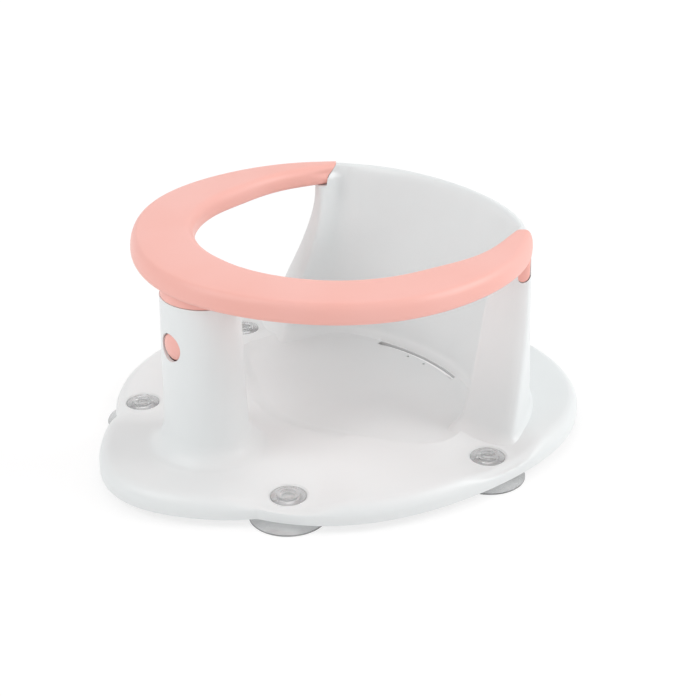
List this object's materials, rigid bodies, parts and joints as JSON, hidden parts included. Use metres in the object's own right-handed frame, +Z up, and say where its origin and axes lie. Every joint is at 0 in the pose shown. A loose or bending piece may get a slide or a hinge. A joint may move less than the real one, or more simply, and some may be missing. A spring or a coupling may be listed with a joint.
{
  "type": "baby bath seat",
  "caption": "White moulded baby bath seat with a tall curved back wall, a front post, a pink lift-off ring with a push-button release, and clear suction cups under its plate",
  "frame": {"origin": "under the middle of the whole seat, on the plane that the suction cups rest on", "axes": "+X to the right seen from the front, -Y to the front where the post is, +Z up"},
  "size_m": [0.3338, 0.3737, 0.1551],
  "materials": {
    "white_plastic": "smooth white moulded plastic with a soft gloss",
    "pink_plastic": "smooth salmon pink moulded plastic with a soft gloss",
    "spring_steel": "plain bright wire",
    "clear_vinyl": "clear soft vinyl, wet-looking"
  },
  "bodies": {
    "seat": {"seat_body": "white_plastic", "suction_cup_front_left": "clear_vinyl", "suction_cup_front_right": "clear_vinyl", "suction_cup_back_left": "clear_vinyl", "suction_cup_back_right": "clear_vinyl", "button_spring": "spring_steel"},
    "ring": {"ring_upper_shell": "pink_plastic", "ring_lower_shell": "pink_plastic"},
    "button": {"release_button": "pink_plastic"}
  },
  "joints": [
    {"name": "ring_lift", "type": "slide", "parent": "seat", "child": "ring", "axis": [0, 0, 1], "range_m": [0, 0.09]},
    {"name": "button_press", "type": "slide", "parent": "seat", "child": "button", "axis": [0, 1, 0], "range_m": [0, 0.004], "stiffness_N_per_m": 400, "springref_m": -0.002}
  ]
}
